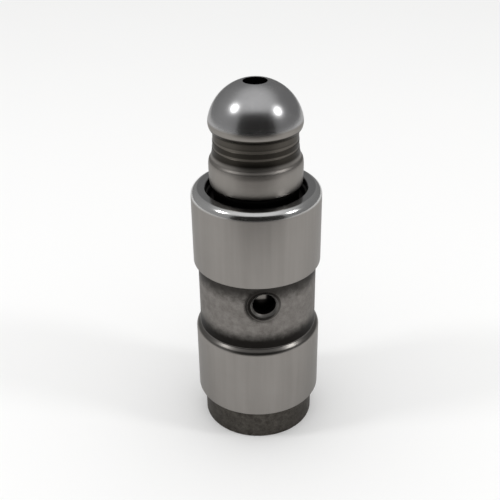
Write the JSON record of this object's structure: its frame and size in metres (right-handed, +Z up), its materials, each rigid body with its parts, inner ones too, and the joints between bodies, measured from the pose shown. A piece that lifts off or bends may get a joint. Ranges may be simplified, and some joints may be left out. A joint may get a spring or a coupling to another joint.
{
  "type": "hydraulic lash adjuster",
  "caption": "Hydraulic tappet with a ball end: a ground steel body with an oil groove, and a spring-loaded plunger with a check valve inside.",
  "frame": {"origin": "centre of the foot's underside, where the tappet stands", "axes": "+Z up along the plunger's axis, and -Y towards the oil hole in the groove"},
  "size_m": [0.012, 0.012, 0.0349],
  "materials": {
    "body_steel": "hardened steel, ground lands with fine vertical marks, duller turned groove and dark blotchy foot",
    "ball_plunger_steel": "hardened steel, polished ball and satin turned neck",
    "lower_plunger_steel": "ground hardened steel",
    "bearing_steel": "polished bearing steel",
    "cage_steel": "pressed sheet steel",
    "check_spring_wire": "drawn spring wire",
    "plunger_spring_wire": "drawn spring wire with ground ends",
    "ring_steel": "dark phosphated spring wire"
  },
  "bodies": {
    "body": {"body": "body_steel", "retaining_ring": "ring_steel", "plunger_spring": "plunger_spring_wire"},
    "lower_plunger": {"lower_plunger": "lower_plunger_steel", "check_ball_cage": "cage_steel", "check_ball_spring": "check_spring_wire"},
    "ball_plunger": {"ball_plunger": "ball_plunger_steel"},
    "check_ball": {"check_ball": "bearing_steel"}
  },
  "joints": [
    {"name": "plunger_slide", "type": "slide", "parent": "body", "child": "lower_plunger", "axis": [0, 0, 1], "range_m": [-0.0025, 0], "stiffness_N_per_m": 3000, "springref_m": 0.004, "deforming": ["plunger_spring"]},
    {"name": "ball_plunger_spin", "type": "hinge", "parent": "lower_plunger", "child": "ball_plunger", "pos_m": [0, 0, 0.014], "axis": [0, 0, 1], "continuous": true},
    {"name": "check_ball_lift", "type": "slide", "parent": "lower_plunger", "child": "check_ball", "axis": [0, 0, 1], "range_m": [-0.00025, 0], "stiffness_N_per_m": 50, "springref_m": 0.0005, "deforming": ["check_ball_spring"]}
  ]
}
